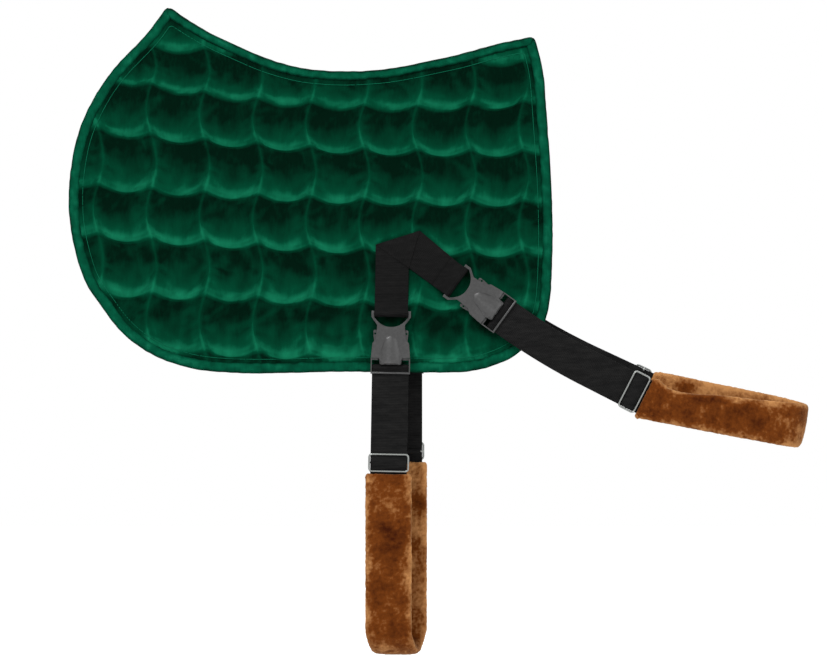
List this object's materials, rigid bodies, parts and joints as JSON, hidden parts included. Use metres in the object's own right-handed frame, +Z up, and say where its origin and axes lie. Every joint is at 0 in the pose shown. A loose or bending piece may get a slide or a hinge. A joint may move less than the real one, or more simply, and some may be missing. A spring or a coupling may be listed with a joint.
{
  "type": "training saddle pad",
  "caption": "Quilted saddle pad folded over its spine, with webbing straps that clip to a fleece-covered belly band and hindquarter band.",
  "frame": {"origin": "under the ridge at the dip of the spine, where the horse's back carries the pad", "axes": "+X towards the horse's tail, +Y to the horse's right, +Z up"},
  "size_m": [0.9894, 0.0648, 0.8636],
  "materials": {
    "velvet": "crushed velvet pile",
    "binding": "velvet pile",
    "wadding": "polyester wadding",
    "lining": "cotton",
    "webbing": "ribbed polypropylene weave",
    "plastic": "moulded acetal",
    "steel": "zinc plated wire",
    "fleece": "short pile fleece"
  },
  "bodies": {
    "spine": {"ridge_binding": "binding", "left_spine_panel": "velvet", "right_spine_panel": "velvet", "left_front_binding": "binding", "left_rear_binding": "binding", "right_front_binding": "binding", "right_rear_binding": "binding"},
    "left_flap": {"left_flap_cover": "velvet", "left_flap_wadding": "wadding", "left_flap_lining": "lining", "left_flap_binding": "binding", "left_v_strap": "webbing"},
    "right_flap": {"right_flap_cover": "velvet", "right_flap_wadding": "wadding", "right_flap_lining": "lining", "right_flap_binding": "binding", "right_v_strap": "webbing"},
    "left_belly_female": {"left_belly_buckle_female": "plastic"},
    "left_belly_band": {"left_belly_buckle_male": "plastic", "left_belly_webbing": "webbing", "belly_fleece_sleeve": "fleece", "belly_inner_webbing": "webbing"},
    "left_belly_glide": {"left_belly_tri_glide": "steel", "left_belly_glide_loop": "webbing"},
    "left_belly_rear_prong": {"left_belly_rear_prong": "plastic"},
    "left_belly_front_prong": {"left_belly_front_prong": "plastic"},
    "right_belly_female": {"right_belly_buckle_female": "plastic"},
    "right_belly_band": {"right_belly_buckle_male": "plastic", "right_belly_webbing": "webbing"},
    "right_belly_glide": {"right_belly_tri_glide": "steel", "right_belly_glide_loop": "webbing"},
    "right_belly_front_prong": {"right_belly_front_prong": "plastic"},
    "right_belly_rear_prong": {"right_belly_rear_prong": "plastic"},
    "left_hind_female": {"left_hind_buckle_female": "plastic"},
    "left_hind_band": {"left_hind_buckle_male": "plastic", "left_hind_webbing": "webbing", "hind_fleece_sleeve": "fleece", "hind_inner_webbing": "webbing"},
    "left_hind_glide": {"left_hind_tri_glide": "steel", "left_hind_glide_loop": "webbing"},
    "left_hind_rear_prong": {"left_hind_rear_prong": "plastic"},
    "left_hind_front_prong": {"left_hind_front_prong": "plastic"},
    "right_hind_female": {"right_hind_buckle_female": "plastic"},
    "right_hind_band": {"right_hind_buckle_male": "plastic", "right_hind_webbing": "webbing"},
    "right_hind_glide": {"right_hind_tri_glide": "steel", "right_hind_glide_loop": "webbing"},
    "right_hind_front_prong": {"right_hind_front_prong": "plastic"},
    "right_hind_rear_prong": {"right_hind_rear_prong": "plastic"}
  },
  "joints": [
    {"name": "left_flap_fold", "type": "hinge", "parent": "spine", "child": "left_flap", "pos_m": [0, -0.0178, -0.018], "axis": [-1, 0, 0], "range_deg": [0, 90]},
    {"name": "right_flap_fold", "type": "hinge", "parent": "spine", "child": "right_flap", "pos_m": [0, 0.0178, -0.018], "axis": [1, 0, 0], "range_deg": [0, 90]},
    {"name": "left_belly_swing", "type": "hinge", "parent": "left_flap", "child": "left_belly_female", "pos_m": [0.0617, -0.0244, -0.3116], "axis": [-0.9998, 0, 0.0175], "range_deg": [0, 90]},
    {"name": "left_belly_release", "type": "slide", "parent": "left_belly_female", "child": "left_belly_band", "axis": [-0.0175, 0, -0.9998], "range_m": [0, 0.04]},
    {"name": "left_belly_rear_prong_squeeze", "type": "hinge", "parent": "left_belly_band", "child": "left_belly_rear_prong", "pos_m": [0.07772, -0.0244, -0.36789], "axis": [0, -1, 0], "range_deg": [0, 10.2]},
    {"name": "left_belly_front_prong_squeeze", "type": "hinge", "parent": "left_belly_band", "child": "left_belly_front_prong", "pos_m": [0.04372, -0.0244, -0.36729], "axis": [0, 1, 0], "range_deg": [0, 10.2]},
    {"name": "left_belly_adjust", "type": "slide", "parent": "left_belly_band", "child": "left_belly_glide", "axis": [0.0175, 0, 0.9998], "range_m": [0, 0.05]},
    {"name": "right_belly_swing", "type": "hinge", "parent": "right_flap", "child": "right_belly_female", "pos_m": [0.0787, 0.0244, -0.3116], "axis": [1, 0, 0], "range_deg": [0, 90]},
    {"name": "right_belly_release", "type": "slide", "parent": "right_belly_female", "child": "right_belly_band", "axis": [0, 0, -1], "range_m": [0, 0.04]},
    {"name": "right_belly_front_prong_squeeze", "type": "hinge", "parent": "right_belly_band", "child": "right_belly_front_prong", "pos_m": [0.0617, 0.0244, -0.3676], "axis": [0, 1, 0], "range_deg": [0, 10.2]},
    {"name": "right_belly_rear_prong_squeeze", "type": "hinge", "parent": "right_belly_band", "child": "right_belly_rear_prong", "pos_m": [0.0957, 0.0244, -0.3676], "axis": [0, -1, 0], "range_deg": [0, 10.2]},
    {"name": "right_belly_adjust", "type": "slide", "parent": "right_belly_band", "child": "right_belly_glide", "axis": [0, 0, 1], "range_m": [0, 0.05]},
    {"name": "left_hind_swing", "type": "hinge", "parent": "left_flap", "child": "left_hind_female", "pos_m": [0.1476, -0.0244, -0.2695], "axis": [-0.5878, 0, -0.809], "range_deg": [0, 90]},
    {"name": "left_hind_release", "type": "slide", "parent": "left_hind_female", "child": "left_hind_band", "axis": [0.809, 0, -0.5878], "range_m": [0, 0.04]},
    {"name": "left_hind_rear_prong_squeeze", "type": "hinge", "parent": "left_hind_band", "child": "left_hind_rear_prong", "pos_m": [0.2029, -0.0244, -0.28866], "axis": [0, -1, 0], "range_deg": [0, 10.2]},
    {"name": "left_hind_front_prong_squeeze", "type": "hinge", "parent": "left_hind_band", "child": "left_hind_front_prong", "pos_m": [0.18291, -0.0244, -0.31617], "axis": [0, 1, 0], "range_deg": [0, 10.2]},
    {"name": "left_hind_adjust", "type": "slide", "parent": "left_hind_band", "child": "left_hind_glide", "axis": [-0.891, 0, 0.454], "range_m": [0, 0.05]},
    {"name": "right_hind_swing", "type": "hinge", "parent": "right_flap", "child": "right_hind_female", "pos_m": [0.1476, 0.0244, -0.2695], "axis": [0.5592, 0, 0.829], "range_deg": [0, 90]},
    {"name": "right_hind_release", "type": "slide", "parent": "right_hind_female", "child": "right_hind_band", "axis": [0.829, 0, -0.5592], "range_m": [0, 0.04]},
    {"name": "right_hind_front_prong_squeeze", "type": "hinge", "parent": "right_hind_band", "child": "right_hind_front_prong", "pos_m": [0.18452, 0.0244, -0.31491], "axis": [0, 1, 0], "range_deg": [0, 10.2]},
    {"name": "right_hind_rear_prong_squeeze", "type": "hinge", "parent": "right_hind_band", "child": "right_hind_rear_prong", "pos_m": [0.20353, 0.0244, -0.28672], "axis": [0, -1, 0], "range_deg": [0, 10.2]},
    {"name": "right_hind_adjust", "type": "slide", "parent": "right_hind_band", "child": "right_hind_glide", "axis": [-0.9063, 0, 0.4226], "range_m": [0, 0.05]}
  ],
  "couplings": [
    {"joint": "left_belly_rear_prong_squeeze", "follows": "left_belly_release", "rad_per_m": 4.36},
    {"joint": "left_belly_front_prong_squeeze", "follows": "left_belly_release", "rad_per_m": 4.36},
    {"joint": "right_belly_release", "follows": "left_belly_release", "ratio": 1},
    {"joint": "right_belly_front_prong_squeeze", "follows": "left_belly_release", "rad_per_m": 4.36},
    {"joint": "right_belly_rear_prong_squeeze", "follows": "left_belly_release", "rad_per_m": 4.36},
    {"joint": "left_hind_rear_prong_squeeze", "follows": "left_hind_release", "rad_per_m": 4.36},
    {"joint": "left_hind_front_prong_squeeze", "follows": "left_hind_release", "rad_per_m": 4.36},
    {"joint": "right_hind_release", "follows": "left_hind_release", "ratio": 1},
    {"joint": "right_hind_front_prong_squeeze", "follows": "left_hind_release", "rad_per_m": 4.36},
    {"joint": "right_hind_rear_prong_squeeze", "follows": "left_hind_release", "rad_per_m": 4.36}
  ]
}
